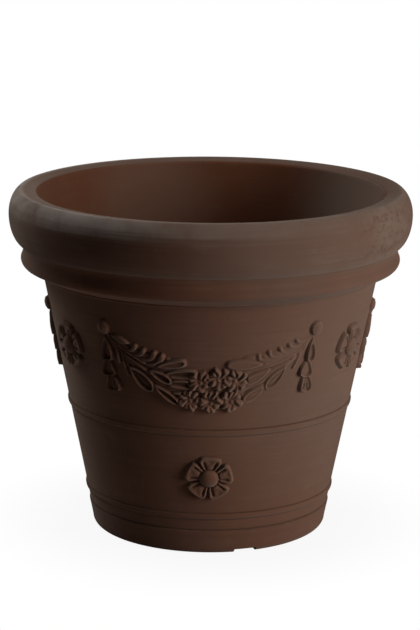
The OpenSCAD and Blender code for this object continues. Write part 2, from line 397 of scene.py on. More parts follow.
@dataclass(frozen=True)
class ClayFinish:
    """A matt, slip-washed brown clay, with painted light and shade laid into its colour. Colours
    are linear RGB, and bands run from none to full.
    """

    name: str
    body: Place
    warm: Place
    bloom: Place
    dark: Place
    bloom_share: float
    streak_share: float
    scuff_share: float = 0.0
    shoulder_bloom: float = 0.0
    # Painted light: pools of a paler tint where the lamps light the pot most.
    hazes: tuple[Haze, ...] = ()
    haze: Place = (0.125, 0.091, 0.070)
    gloss: float = 0.0
    dust: float = 0.14

    cloud_band = (0.38, 0.66)
    patch_band = (0.42, 0.72)
    drift_band = (0.35, 0.7)
    line_band = (0.5, 0.3)
    haze_core = 0.3
    # Painted shade in hollows and creases; crests get wear and painted highlight.
    recess_band, recess_share = (-0.15, -0.9), 0.6
    worn_band, worn_share = (0.1, 0.9), 0.38
    speck_band, speck_share = (0.62, 0.8), 0.22
    roughness, patch_rough, haze_rough = 0.6, 0.16, 0.08
    tooth_weight, streak_weight, lump_weight = 0.6, 1.2, 2.4
    grain, grain_depth = 0.25, 0.3 * MM
    dust_roughness, dust_tint = 0.6, (1.0, 0.9, 0.76, 1)
    around, across, up = 5.0, 170.0, 230.0
    scuff_centre, scuff_band = (0.222, -0.112, 0.414), (0.10, 0.05)
    rubbed_band, broken_band, drawn_band = (0.6, 0.72), (0.44, 0.58), (0.40, 0.56)
    shoulder_z, shoulder_r, shoulder_x = (0.408, 0.430), (0.234, 0.243), (0.24, -0.20)
    shoulder_waver, blotch_band = 0.02, (0.1, 0.7)
    settled_x, settled_warm, settled_pale = (0.0, -0.17), (0.17, 0.125, 0.102), (0.26, 0.222, 0.20)

    def material(self) -> Material:
        """Builds the material.

        Returns:
            A material that reads Object coordinates and the piece's crest attribute.
        """
        n = Nodes(bpy.data.materials.new(self.name))
        place = n.add("ShaderNodeTexCoord").outputs["Object"]
        turned = self.turned_coordinates(n, place)
        cloud, patch = n.noise(place, Pattern.CLOUD), n.noise(place, Pattern.PATCH)
        streak, fine = n.noise(turned, Pattern.STREAK), n.noise(place, Pattern.FINE)
        crest = n.add("ShaderNodeAttribute", attribute_name=CREST).outputs["Fac"]

        colour = n.mix(n.band(cloud, self.cloud_band), self.body, self.warm)
        drift = n.math("MULTIPLY", n.band(patch, self.patch_band), n.band(streak, self.drift_band))
        colour = n.mix(n.math("MULTIPLY", drift, self.bloom_share), colour, self.bloom)
        colour = n.tint(colour, self.dark, streak, self.line_band, self.streak_share)
        # Painted light: each pool pales the colour towards its middle.
        for area in self.hazes:
            away = n.vector("DISTANCE", place, area.centre)
            limits = (area.reach, self.haze_core * area.reach)
            colour = n.tint(colour, self.haze, away, limits, area.share)
        if self.scuff_share > 0:
            colour = self.scuffs(n, place, turned, colour)
        # Painted highlight, partly dust bloom, on the rim's left shoulder.
        if self.shoulder_bloom > 0:
            colour = self.bloomed_shoulder(n, place, streak, colour)
        # Painted shade: darker in the sprigs' hollows and along the rings' creases, where shade
        # falls.
        colour = n.tint(colour, self.dark, crest, self.recess_band, self.recess_share)
        # Wear and painted highlight: crests are lightened towards the pale bloom colour.
        colour = n.tint(colour, self.bloom, crest, self.worn_band, self.worn_share)
        colour = n.tint(colour, self.bloom, fine, self.speck_band, self.speck_share)

        smoothest = self.roughness - self.patch_rough / 2
        rough = n.math("MULTIPLY_ADD", patch, self.patch_rough, smoothest)
        rough = n.math("MULTIPLY_ADD", drift, self.haze_rough, rough)
        relief = n.math("MULTIPLY_ADD", n.noise(place, Pattern.TOOTH), self.tooth_weight, fine)
        relief = n.math("MULTIPLY_ADD", streak, self.streak_weight, relief)
        lumps = n.noise(place, Pattern.LUMPS)
        relief = n.math("MULTIPLY_ADD", lumps, self.lump_weight, relief)
        depth = {"Height": relief, "Strength": self.grain, "Distance": self.grain_depth}
        shader = n.add("ShaderNodeBsdfPrincipled", {
            "Base Color": colour, "Roughness": rough, "Specular IOR Level": self.gloss,
            "Normal": n.add("ShaderNodeBump", depth).outputs[0], "Sheen Weight": self.dust,
            "Sheen Roughness": self.dust_roughness, "Sheen Tint": self.dust_tint,
        })
        n.add("ShaderNodeOutputMaterial", {"Surface": shader.outputs[0]})
        return n.owner

    def turned_coordinates(self, n: Nodes, place: Socket) -> Socket:
        """Coordinates whose noise runs in streaks round the pot.

        Args:
            n: The material's nodes.
            place: Object coordinates.

        Returns:
            A vector that changes slowly round the pot and quickly up and across it.
        """
        parts = n.add("ShaderNodeSeparateXYZ", {0: place}).outputs
        x = n.math("MULTIPLY", parts["X"], self.around)
        vector = {
            "X": n.math("MULTIPLY_ADD", n.radius(place), self.across, x),
            "Y": n.math("MULTIPLY", parts["Y"], self.around),
            "Z": n.math("MULTIPLY", parts["Z"], self.up),
        }
        return n.add("ShaderNodeCombineXYZ", vector).outputs[0]

    def scuffs(self, n: Nodes, place: Socket, turned: Socket, colour: Socket) -> Socket:
        """Rubs red-brown, streaky patches into a colour, most of them at the scuffs' centre.

        Args:
            n: The material's nodes.
            place: Object coordinates.
            turned: Coordinates that streak round the pot.
            colour: The colour under the scuffs.

        Returns:
            The scuffed colour.
        """
        near = n.band(n.vector("DISTANCE", place, self.scuff_centre), self.scuff_band)
        mask = n.math("MAXIMUM", near, n.band(n.noise(place, Pattern.RUBBED), self.rubbed_band))
        broken = n.band(n.noise(place, Pattern.BROKEN), self.broken_band)
        drawn = n.band(n.noise(turned, Pattern.DRAWN), self.drawn_band)
        for factor in (broken, drawn, self.scuff_share):
            mask = n.math("MULTIPLY", mask, factor)
        return n.mix(mask, colour, self.warm)

    def bloomed_shoulder(self, n: Nodes, place: Socket, streak: Socket, colour: Socket) -> Socket:
        """Paints a pale highlight, partly dust bloom, on the rim's outer shoulder, most of it on
        the left, where light from the upper left falls.

        Args:
            n: The material's nodes.
            place: Object coordinates.
            streak: The streak pattern.
            colour: The colour under the bloom.

        Returns:
            The bloomed colour.
        """
        parts = n.add("ShaderNodeSeparateXYZ", {0: place}).outputs
        swing = n.math("SUBTRACT", streak, 0.5)
        level = n.math("MULTIPLY_ADD", swing, self.shoulder_waver, parts["Z"])
        mask = n.band(level, self.shoulder_z)
        for factor in (
            n.band(n.radius(place), self.shoulder_r), n.band(parts["X"], self.shoulder_x),
            n.band(n.noise(place, Pattern.BLOTCH), self.blotch_band), self.shoulder_bloom,
        ):
            mask = n.math("MULTIPLY", mask, factor)
        # Painted highlight: palest on the left, where the light falls on the shoulder.
        side = n.band(parts["X"], self.settled_x)
        return n.mix(mask, colour, n.mix(side, self.settled_warm, self.settled_pale))


# Turned rings


def rounded(corner: Point, before: Point, after: Point, radius: float, steps: int) -> list[Point]:
    """Rounds a profile's corner with an arc.

    Args:
        corner: The corner point.
        before: The point that the profile comes from.
        after: The point that it goes to.
        radius: The arc's radius.
        steps: Stretches of the arc.

    Returns:
        Points of the arc in order.
    """
    c, a, b = Vector(corner), Vector(before), Vector(after)
    u, v = (a - c).normalized(), (b - c).normalized()
    half = u.angle(v) / 2
    reach = radius / math.tan(half)
    middle = c + (u + v).normalized() * (radius / math.sin(half))
    start, end = c + u * reach, c + v * reach
    spread = (start - middle).angle_signed(end - middle)
    points = []
    for i in range(steps + 1):
        arm = (start - middle).copy()
        arm.rotate(Matrix.Rotation(-spread * i / steps, 2))
        points.append(tuple(middle + arm))
    return points


def oval(centre: Point, rx: float, ry: float, start: float, end: float, steps: int) -> list[Point]:
    """Points on an arc of an ellipse, with the angles in degrees."""
    turns = np.radians(np.linspace(start, end, steps + 1))
    return [(centre[0] + rx * math.cos(t), centre[1] + ry * math.sin(t)) for t in turns]


def stretch(start: Point, end: Point, steps: int) -> list[Point]:
    """Evenly spaced points on a line, both ends among them."""
    run, rise = end[0] - start[0], end[1] - start[1]
    return [(start[0] + run * t, start[1] + rise * t) for t in np.linspace(0, 1, steps + 1)]


class Ring(ABC):
    """A ring of the pot, spun from its closed profile."""

    node: str
    turns = 288
    spin_gap = 0.001 * MM
    carve_gap = 0.01 * MM

    def __init__(self, lines: PotLines) -> None:
        """Keeps the pot's lines."""
        self.lines = lines

    @abstractmethod
    def profile(self) -> list[Point]:
        """The closed profile as radius and height, in metres, in order."""

    def creases(self) -> list[tuple[float, float]]:
        """Heights at which the ring meets a neighbour, and how far the painted shade in each crease
        reaches.
        """
        return []

    def crest_at(self, z: float) -> float:
        """Painted shade of the ring at a height: below 0 near a crease."""
        dirt = (math.exp(-((z - level) / reach) ** 2) for level, reach in self.creases())
        return -max(dirt, default=0)

    def build(self) -> Piece:
        """Spins the profile.

        Returns:
            The ring's object.
        """
        bm = bmesh.new()
        layer = bm.verts.layers.float.new(CREST)
        points = [bm.verts.new((r, 0, z)) for r, z in self.profile()]
        # Painted shade: each profile vertex keeps how deep it lies in a crease's shade.
        for vert in points:
            vert[layer] = self.crest_at(vert.co.z)
        edges = [bm.edges.new((a, b)) for a, b in zip(points, points[1:] + points[:1])]
        bmesh.ops.spin(
            bm, geom=points + edges, cent=(0, 0, 0), axis=(0, 0, 1), dvec=(0, 0, 0),
            angle=math.tau, steps=self.turns, use_merge=True,
        )
        bmesh.ops.remove_doubles(bm, verts=bm.verts, dist=self.spin_gap)
        self.carve(bm)
        bmesh.ops.remove_doubles(bm, verts=bm.verts, dist=self.carve_gap)
        return finish_mesh(bm, self.node + "_turned")

    def carve(self, bm: BMesh) -> None:
        """Changes the spun mesh before it is finished; a plain ring stays as it is."""

    def dress(self, piece: Piece, finish: Material, slot: str = "clay") -> None:
        """Gives the ring its finish and its place in the frame."""
        seat_piece(piece, finish, slot, self.node)


class FloorSlab(Ring):
    """The disc under the soil, with its drain hole."""

    node = "floor_slab"
    drain_r = 16 * MM
    edge = 2.5 * MM
    low_edge = 1 * MM
    lip_drop = 0.4 * MM
    dish_depth = 1.2 * MM
    dish_power = 0.7

    def profile(self) -> list[Point]:
        """The slab's section, a little dished, with an eased drain hole."""
        low, high, out = self.lines.ledge_top, self.lines.floor_top, self.lines.floor_r
        hole = self.drain_r
        top_in, top_out = (hole, high - self.lip_drop), (out, high)
        low_in, low_out = (hole, low), (out, low)
        dish = [
            (hole + self.edge + (out - hole - self.edge) * t,
             high - self.dish_depth * math.sin(math.pi * t) ** self.dish_power)
            for t in np.linspace(0.06, 0.98, 16)
        ]
        return (
            [low_out, *stretch(low_out, low_in, 4)[1:-1]]
            + rounded(low_in, low_out, top_in, self.low_edge, 3)
            + rounded(top_in, low_in, dish[0], self.edge, 5)
            + dish + [top_out]
        )


class FootRing(Ring):
    """The foot that carries the pot, notched underneath for drainage."""

    node = "foot_ring"
    proud = 1.5 * MM
    round_r = 8 * MM
    round_end = 1.15
    ease_r = 1.8 * MM
    heel_cut = 0.6 * MM
    ledge_w = 8 * MM
    notch_count = 3
    notch_w = 29 * MM
    notch_h = 5 * MM
    notch_side = 0.6 * MM
    notch_azimuth = 18.0
    ground_dirt = 3 * MM
    step_dirt = 0.5 * MM

    def profile(self) -> list[Point]:
        """The foot's section: a round-edged base, a small step at the top and a ledge inside."""
        p, cut = self.lines, self.heel_cut
        ledge_r = p.floor_r - self.ledge_w
        side = (p.wall_r(self.round_r) + self.proud, self.round_end * self.round_r)
        shoulder = (p.wall_r(p.foot_top) + self.proud, p.foot_top)
        heel = (p.wall_r(0) + self.proud, 0)
        seat = (p.inner_r(p.foot_top), p.foot_top)
        return (
            [(ledge_r, self.notch_h), (ledge_r, cut), (ledge_r + cut, 0)]
            + rounded(heel, (ledge_r, 0), shoulder, self.round_r, 9)
            + stretch(side, shoulder, 8)[1:-1]
            + rounded(shoulder, heel, seat, self.ease_r, 5)
            + [seat, (p.floor_r, p.floor_top), (p.floor_r, p.ledge_top), (ledge_r, p.ledge_top)]
        )

    def creases(self) -> list[Point]:
        """Painted shade darkens the foot at the ground and under the step."""
        return [(0.0, self.ground_dirt), (self.lines.foot_top, self.step_dirt)]

    def carve(self, bm: BMesh) -> None:
        """Cuts the drain notches into the foot's underside."""
        half = self.notch_w / 2
        inside = half - 0.5 * self.notch_side
        for i in range(self.notch_count):
            angle = math.radians(self.notch_azimuth + 360 * i / self.notch_count)
            turn = Matrix.Rotation(angle, 3, "Z")
            sideways, outward = turn @ Vector((1, 0, 0)), turn @ Vector((0, -1, 0))
            for reach in (-half, -half + self.notch_side, half - self.notch_side, half):
                faces = [f for f in bm.faces if f.calc_center_median().dot(outward) > 0]
                cut = dict.fromkeys(part for f in faces for part in (f, *f.edges, *f.verts))
                bmesh.ops.bisect_plane(
                    bm, geom=list(cut), dist=1e-7, plane_co=sideways * reach, plane_no=sideways,
                )
            for vert in bm.verts:
                under = vert.co.z < self.notch_h and vert.co.dot(outward) > 0
                if under and abs(vert.co.dot(sideways)) < inside:
                    vert.co.z = self.notch_h


class Wall(Ring):
    """The flared wall, which carries the beads and the sprigs."""

    node = "wall"
    bead_side = 4 * MM
    steps = 24
    inner_steps = 30
    foot_dirt = 2.5 * MM
    bead_dirt = 1.5 * MM

    def bead_sides(self) -> list[float]:
        """Heights just under and just over each bead."""
        beads = (self.lines.low_bead, self.lines.up_bead)
        return [z + side * self.bead_side for z in beads for side in (-1, 1)]

    def profile(self) -> list[Point]:
        """The wall's section, with close lines wherever it meets a neighbour."""
        p = self.lines
        near = [p.foot_top, *self.bead_sides(), p.collar_low]
        offsets = [0, 0.6, 1.2, 2, 3, 5, 8]
        levels = {round(z + side * o * MM, 6) for z in near for o in offsets for side in (-1, 1)}
        levels |= {round(z, 6) for z in np.linspace(p.foot_top, p.rim_low, self.steps)}
        outside = sorted(z for z in levels if p.foot_top <= z <= p.rim_low)
        inside = np.linspace(p.rim_low, p.foot_top, self.inner_steps)
        return [(p.wall_r(z), z) for z in outside] + [(p.inner_r(z), z) for z in inside]

    def creases(self) -> list[Point]:
        """Painted shade darkens the wall over the foot and beside the beads."""
        foot = [(self.lines.foot_top, self.foot_dirt)]
        return foot + [(z, self.bead_dirt) for z in self.bead_sides()]


class Bead(Ring):
    """A low moulded strip round the wall."""

    width = 8.5 * MM
    proud = 2 * MM
    root = 1 * MM
    foot_sink = 0.05 * MM
    flatness, fullness = 2.6, 0.9
    dirt = 1.2 * MM

    def __init__(self, lines: PotLines, node: str, z: float) -> None:
        """Keeps the bead's node and height.

        Args:
            lines: The pot's lines.
            node: The CAD node that it stands for.
            z: Height of the bead's middle.
        """
        super().__init__(lines)
        self.node = node
        self.z = z

    def profile(self) -> list[Point]:
        """A flat-crowned section with small swept feet."""
        c, s = math.cos(self.lines.lean), math.sin(self.lines.lean)
        start = self.lines.wall_r(self.z)
        half = self.width / 2

        def at(up: float, out: float) -> Point:
            return start + up * s + out * c, self.z + up * c - out * s

        crown = []
        for t in np.linspace(-1, 1, 25):
            swell = (1 - abs(t) ** self.flatness) ** self.fullness if abs(t) < 1 else 0
            crown.append(at(half * t, self.proud * swell - self.foot_sink))
        return crown + [at(half, -self.root), at(-half, -self.root)]

    def creases(self) -> list[Point]:
        """Painted shade darkens both feet."""
        return [(self.z + side * self.width / 2, self.dirt) for side in (-1, 1)]


class Collar(Ring):
    """The band under the rim, with a sloping underside."""

    node = "collar"
    skirt_h = 21.5 * MM
    round_r = 9 * MM
    belly_turn = (-50, 12)
    waist_drop = 2.9 * MM
    waist_fall = 8.5 * MM
    toe_h = 5.5 * MM
    toe_proud = 2.1 * MM
    toe_power, shoulder_power, cove_power = 0.8, 1.7, 1.8
    low_root = 1.5 * MM
    top_root = 1 * MM

    def profile(self) -> list[Point]:
        """A beaded toe, a sloping skirt, a round belly and a cove up to the rim."""
        p = self.lines
        toe = []
        for t in np.linspace(0.02, 0.7, 12):
            z = p.collar_low + t * self.toe_h
            toe.append((p.wall_r(z) + self.toe_proud * math.sin(math.pi * t) ** self.toe_power, z))
        turn = (p.collar_r - self.round_r, p.collar_low + self.skirt_h)
        belly = oval(turn, self.round_r, self.round_r, *self.belly_turn, 16)
        top = belly[-1]
        waist = (p.collar_r - self.waist_drop, p.rim_low - self.waist_fall)
        rim_turn = math.radians(RimRoll.low_turn)
        lip = (p.rim_r - RimRoll.roll_w * (1 - math.cos(rim_turn)), p.rim_low)
        shoulder, cove = [], []
        for t in np.linspace(0.1, 1, 10):
            r = waist[0] + (top[0] - waist[0]) * (1 - t) ** self.shoulder_power
            shoulder.append((r, top[1] + (waist[1] - top[1]) * t))
            r = waist[0] + (lip[0] - waist[0]) * t**self.cove_power
            cove.append((r, waist[1] + (lip[1] - waist[1]) * t))
        back_low = (p.wall_r(p.collar_low) - self.low_root, p.collar_low)
        back_top = (p.wall_r(p.rim_low) - self.top_root, p.rim_low)
        skirt = stretch(toe[-1], belly[0], 8)[:-1]
        return [back_low, *toe[:-1], *skirt, *belly, *shoulder, *cove, back_top]


class RimRoll(Ring):
    """The heavy rolled rim."""

    node = "rim_roll"
    roll_w = 19.4 * MM
    roll_top_h = 32 * MM
    low_turn = 75.0
    roll_turn = (2, 66)
    crest_out = 4.3 * MM
    crest_drop = 1.5 * MM
    crest_pull = 2.2 * MM
    lip_w = 7 * MM
    lip_drop = 0.9 * MM
    mouth_drop = 4.6 * MM
    mouth_r = 4.5 * MM
    throat_start = 8 * MM
    waver = 0.35 * MM
    waver_start = 20 * MM
    waver_depth = 1.9

    def profile(self) -> list[Point]:
        """The roll's section: two oval arcs outside, an eased inner corner and a leaning throat."""
        p = self.lines
        centre = (p.rim_r - self.roll_w, p.top - self.roll_top_h)
        low_h = (p.top - p.rim_low - self.roll_top_h) / math.sin(math.radians(self.low_turn))
        corner_z = p.top - self.mouth_drop
        throat_z = corner_z - self.throat_start
        mouth = (p.inner_r(corner_z), corner_z)
        throat = (p.inner_r(p.rim_low), p.rim_low)
        outside = oval(centre, self.roll_w, self.roll_top_h, *self.roll_turn, 24)
        crest = np.array((centre[0] + self.crest_out, p.top - self.crest_drop))
        pull = crest + (self.crest_pull, 0)
        crown = curve(np.array(outside[-1]), pull, crest, np.linspace(0.15, 1, 7))
        lip = (crest[0] - self.lip_w, crest[1] - self.lip_drop)
        return (
            oval(centre, self.roll_w, low_h, -self.low_turn, 0, 24)
            + outside + crown + [lip]
            + rounded(mouth, lip, throat, self.mouth_r, 8)
            + stretch((p.inner_r(throat_z), throat_z), throat, 10)
        )

    def carve(self, bm: BMesh) -> None:
        """Lets the roll waver a little, as a hand-turned rim does."""
        p = self.lines
        for vert in bm.verts:
            turn = math.atan2(vert.co.y, vert.co.x)
            free = min(max((vert.co.z - p.rim_low) / self.waver_start, 0), 1)
            wave = 0.6 * math.sin(2 * turn + 0.4) + 0.4 * math.sin(5 * turn + 1.7)
            shrink = self.waver * free * (wave - 1) / 2
            radius = math.hypot(vert.co.x, vert.co.y)
            if radius > p.rim_r - self.waver_depth * self.roll_w:
                vert.co.x *= 1 + shrink / radius
                vert.co.y *= 1 + shrink / radius


# Carved sprigs


class Carving:
    """Heights over the wall in millimetres, laid form over form on a grid of points."""

    deep = -9.0
    apron_h = 0.22
    apron_fall = 0.5
    edge_power = 2.2
    blend_w = 0.7

    def __init__(self, x: Grid, y: Grid, worn: float = 1.0) -> None:
        """Starts with bare wall.

        Args:
            x: Distances to the right, in millimetres.
            y: Distances up the wall, in millimetres.
            worn: How much broader than new the forms' edges are.
        """
        self.x = x
        self.y = y
        self.worn = worn
        self.h = np.full(x.shape, self.deep)

    def lay(self, inside: Grid, crown: Grid, edge: float = 1.6, groove: float = 0.4,
            groove_w: float = 1.0) -> None:
        """Lays a form over what is there.

        Args:
            inside: Distance inside the form's outline, negative outside it.
            crown: The form's height away from its edge.
            edge: Width over which the edge rounds up to the crown.
            groove: How deep the form beds into its neighbours, as a share of their height.
            groove_w: Width of the bedding line round the form.
        """
        outside = np.minimum(inside, 0)
        rise = 1 - (1 - np.clip(inside / (edge * self.worn), 0, 1)) ** self.edge_power
        apron = self.apron_h + self.apron_fall * outside
        form = np.where(inside > 0, np.maximum(crown * rise, apron), apron)
        self.sink(groove * ridge(outside, groove_w))
        share = ease(inside / self.blend_w)
        over = np.maximum(self.h, form)
        self.h = np.where(inside > 0, form * share + over * (1 - share), over)

    def sink(self, share: Grid) -> None:
        """Lowers what stands over the wall by a share of its height."""
        self.h = np.where(self.h > 0, self.h * (1 - share), self.h)

    def clear(self, circles: list[Place]) -> None:
        """Takes away what lies inside circles, each given by its middle and its radius."""
        for cx, cy, radius in circles:
            self.h = np.where(np.hypot(self.x - cx, self.y - cy) < radius, self.deep, self.h)


def blurred(h: Grid, reach: int) -> Grid:
    """A grid of heights averaged over squares of 2 * reach + 1 points, twice."""
    for _ in range(2):
        for axis in (0, 1):
            pad = [(reach + 1, reach) if a == axis else (0, 0) for a in (0, 1)]
            total = np.cumsum(np.pad(h, pad, mode="edge"), axis=axis)
            span = 2 * reach + 1
            h = (np.take(total, range(span, total.shape[axis]), axis)
                 - np.take(total, range(total.shape[axis] - span), axis)) / span
    return h


def along(base: Point, tip: Point, x: Grid, y: Grid) -> tuple[Grid, Grid, float]:
    """Distances along and across the line from base to tip, and the line's length."""
    dx, dy = tip[0] - base[0], tip[1] - base[1]
    length = math.hypot(dx, dy)
    u = ((x - base[0]) * dx + (y - base[1]) * dy) / length
    v = ((y - base[1]) * dx - (x - base[0]) * dy) / length
    return u, v, length


def egg(point: Point, end: Point, width: float, x: Grid, y: Grid, point_share: float,
        end_share: float) -> tuple[Grid, Grid, Grid, float]:
    """Measures an egg-shaped outline.

    Args:
        point: Its narrow end.
        end: Its full end.
        width: Its greatest width.
        x: Distances to the right.
        y: Distances up the wall.
        point_share: How slowly it widens from the narrow end: below 0.6 round, above it pointed.
        end_share: How soon it narrows towards the full end: the smaller, the blunter.

    Returns:
        Distance inside the outline, distances along and across the middle line, and its length.
    """
    u, v, length = along(point, end, x, y)
    s = np.clip(u / length, 0.004, 0.996)
    widest = point_share / (point_share + end_share)
    full = widest**point_share * (1 - widest) ** end_share
    half = width / 2 * s**point_share * (1 - s) ** end_share / full
    slope = half * (point_share / s - end_share / (1 - s)) / length
    inside = (half - np.abs(v)) / np.sqrt(1 + slope**2)
    beyond = np.abs(u - np.clip(u, 0, length))
    away = -np.hypot(beyond, np.maximum(np.abs(v) - half, 0))
    return np.where(beyond > 0, away, inside), u, v, length


@dataclass(frozen=True)
class Leaf:
    """A leaf with a round back and a fine vein: its base, its tip and its width."""

    base: Point
    tip: Point
    width: float

    fullness = 1.15
    low, lift, round_off = 2.9, 2.3, 0.3
    vein_h, vein_w = 0.55, 0.5

    def lay_on(self, carving: Carving) -> None:
        """Carves the leaf over what is there."""
        u, v, length = along(self.base, self.tip, carving.x, carving.y)
        s = np.clip(u / length, 0, 1)
        beyond = (u < 0) | (u > length)
        warped = np.where((u > 0) & (u < length), length * s**self.fullness, u)
        rho = (length**2 + self.width**2) / (4 * self.width)
        inside = rho - np.hypot(warped - length / 2, np.abs(v) + rho - self.width / 2)
        inside = np.where(beyond, np.minimum(inside, -np.abs(u - s * length)), inside)
        share = np.clip(np.abs(v) / (self.width / 2), 0, 1)
        crown = (self.low + self.lift * ease(s / 0.75)) * (1 - self.round_off * share**2)
        vein = self.vein_h * ridge(v, self.vein_w) * ease(s / 0.2) * ease((1 - s) / 0.2)
        carving.lay(inside, crown - vein)


@dataclass(frozen=True)
class Strand:
    """A curved ridge from a slim foot over a bend to a round tip."""

    foot: Point
    bend: Point
    tip: Point
    width: float
    slim: float = 2.4
    low: float = 3.0
    proud: float = 5.2
    crease: float = 0.0

    segments = 12
    round_off = 0.45
    crease_w = 0.9

    def lay_on(self, carving: Carving) -> None:
        """Carves the strand over what is there."""
        foot, bend, tip = np.array((self.foot, self.bend, self.tip), dtype=float)
        shares = np.linspace(0, 1, self.segments + 1)
        places = curve(foot, 2 * bend - (foot + tip) / 2, tip, shares)
        inside = np.full(carving.x.shape, -1e3)
        share, reach = np.zeros(carving.x.shape), np.ones(carving.x.shape)
        for index, (start, end) in enumerate(zip(places, places[1:])):
            u, v, length = along(start, end, carving.x, carving.y)
            near = np.clip(u, 0, length)
            s = (index + near / length) / self.segments
            half = (self.slim + (self.width - self.slim) * ease(s)) / 2
            depth = half - np.hypot(u - near, v)
            closer = depth > inside
            pairs = ((depth, inside), (s, share), (half, reach))
            inside, share, reach = (np.where(closer, new, old) for new, old in pairs)
        lift = self.low + (self.proud - self.low) * ease(share)
        rounding = 1 - self.round_off * np.clip(1 - inside / reach, 0, 1) ** 2
        vein = self.crease * ridge(inside - reach, self.crease_w) * ease(share / 0.3)
        carving.lay(inside, lift * rounding - vein, edge=1.7, groove=0.42, groove_w=1.2)


@dataclass(frozen=True)
class HollowDrop:
    """An egg-shaped leaf with a rolled edge round a hollow, and a seed or a taper if wanted."""

    point: Point
    end: Point
    width: float
    depth: float = 3.0
    roll: float = 1.8
    seed: float = 0.0
    point_share: float = 0.85
    end_share: float = 0.5
    taper: float = 0.0

    crown_h = 3.9
    roll_in, roll_w = 2.3, 1.5
    hollow_in, hollow_w = 2.8, 2.2
    seed_off, seed_w = 0.4, 1.1

    def lay_on(self, carving: Carving) -> None:
        """Carves the leaf over what is there."""
        inside, u, v, length = egg(self.point, self.end, self.width, carving.x, carving.y,
                                   self.point_share, self.end_share)
        hollow = ease((inside - self.hollow_in) / self.hollow_w)
        ends = ease((u - 0.2 * length) / 5) * ease((0.8 * length - u) / 5)
        seed = self.seed * ridge(v - self.seed_off, self.seed_w) * ends
        crown = self.crown_h + self.roll * ridge(inside - self.roll_in, self.roll_w)
        crown = crown + (seed - self.depth) * hollow
        crown = crown * (1 - self.taper * (1 - ease(u / (0.8 * length))))
        carving.lay(inside, crown, edge=1.6, groove=0.42, groove_w=1.2)


Form = Leaf | Strand | HollowDrop


def drop_islets(bm: BMesh) -> None:
    """Deletes the parts of a carved sheet that don't hang together with its largest part."""
    left, largest = set(bm.faces), set()
    while left:
        part = front = {left.pop()}
        while front:
            near = {f for face in front for edge in face.edges for f in edge.link_faces}
            front = near & left
            left -= front
            part |= front
        largest = max(largest, part, key=len)
    stray = [face for face in bm.faces if face not in largest]
    bmesh.ops.delete(bm, geom=stray, context="FACES")


class Sprig(ABC):
    """A moulded ornament bedded on the wall, carved over its own tangent plane."""

    step = 0.45
    root = 0.9
    float_floor = -0.35
    below_floor = 0.4
    crest_reach = 2.2
    crest_h = 1.3
    flat_turn = 3
    sharp_angle = 80
    soften = 1
    fullness = 1.0

    @abstractmethod
    def extent(self) -> Extent:
        """Left, right, lower and upper reach of the sprig's own plane, in millimetres."""

    @abstractmethod
    def carve(self, carving: Carving) -> None:
        """Lays the sprig's forms."""

    def build(self, name: str, seat: Seat, lines: PotLines) -> Piece:
        """Builds the sprig as a closed mesh on the wall.

        Args:
            name: Name of the piece.
            seat: Its place on the wall.
            lines: The pot's lines.

        Returns:
            The sprig's object.
        """
        left, right, low, high = self.extent()
        across = round((right - left) / self.step)
        up = round((high - low) / self.step)
        bm = bmesh.new()
        bmesh.ops.create_grid(bm, x_segments=across, y_segments=up, size=0.5)
        bmesh.ops.scale(bm, vec=(right - left, high - low, 1), verts=bm.verts)
        bmesh.ops.translate(bm, vec=((left + right) / 2, (low + high) / 2, 0), verts=bm.verts)
        layer = bm.verts.layers.float.new(CREST)
        # The grid operator numbers its vertices row by row, from the lower left.
        flat = np.array([v.co for v in bm.verts]).reshape(up + 1, across + 1, 3)
        heights, crest = self.heights(flat[..., 0], flat[..., 1])
        for vert, height, wear in zip(bm.verts, heights.ravel(), crest.ravel()):
            vert.co.z = height
            vert[layer] = wear
        bare = [f for f in bm.faces if max(v.co.z for v in f.verts) < self.float_floor]
        bmesh.ops.delete(bm, geom=bare, context="FACES")
        drop_islets(bm)
        self.set_on_wall(bm, self.close_back(bm), seat, lines)
        return finish_mesh(bm, name, self.sharp_angle)

    def heights(self, x: Grid, y: Grid) -> tuple[Grid, Grid]:
        """Carves the sprig and softens it.

        Args:
            x: Distances to the right, in millimetres.
            y: Distances up the wall, in millimetres.

        Returns:
            Its heights in millimetres, and its crest measure: above 0 on crests, which get wear and
            painted highlight, and below 0 in hollows, which get painted shade.
        """
        carving = Carving(x, y)
        self.carve(carving)
        heights = blurred(np.maximum(carving.h, self.float_floor - self.below_floor), self.soften)
        heights = np.where(heights > 0, heights * self.fullness, heights)
        # The crest measure drives painted highlight on crests and painted shade in hollows.
        shown = np.maximum(heights, 0)
        around = blurred(shown, round(self.crest_reach / self.step))
        return heights, np.clip((shown - around) / self.crest_h, -1, 1)

    def close_back(self, bm: BMesh) -> BMVerts:
        """Gives the carved sheet a flat back and sides.

        Args:
            bm: The carved sheet.

        Returns:
            The vertices of the carved face.
        """
        upper = set(bm.verts)
        made = bmesh.ops.extrude_face_region(bm, geom=bm.faces[:], use_keep_orig=True)
        for part in made["geom"]:
            if isinstance(part, bmesh.types.BMVert):
                part.co.z = -self.root
        return upper

    def set_on_wall(self, bm: BMesh, upper: BMVerts, seat: Seat, lines: PotLines) -> None:
        """Wraps the mesh onto the wall's cone and simplifies its back.

        Args:
            bm: The closed sprig in millimetres on its plane.
            upper: The vertices of its carved face.
            seat: Its place on the wall.
            lines: The pot's lines.
        """
        verts = bm.verts[:]
        flat = np.array([v.co for v in verts]) * MM
        for vert, place in zip(verts, seat.wrap(lines, flat[:, 0], flat[:, 1], flat[:, 2])):
            vert.co = place
        # Lists in the mesh's own order give the same back each run.
        back = [v for v in verts if v not in upper]
        links = [e for e in bm.edges if not upper.intersection(e.verts)]
        limit = math.radians(self.flat_turn)
        bmesh.ops.dissolve_limit(bm, angle_limit=limit, verts=back, edges=links)


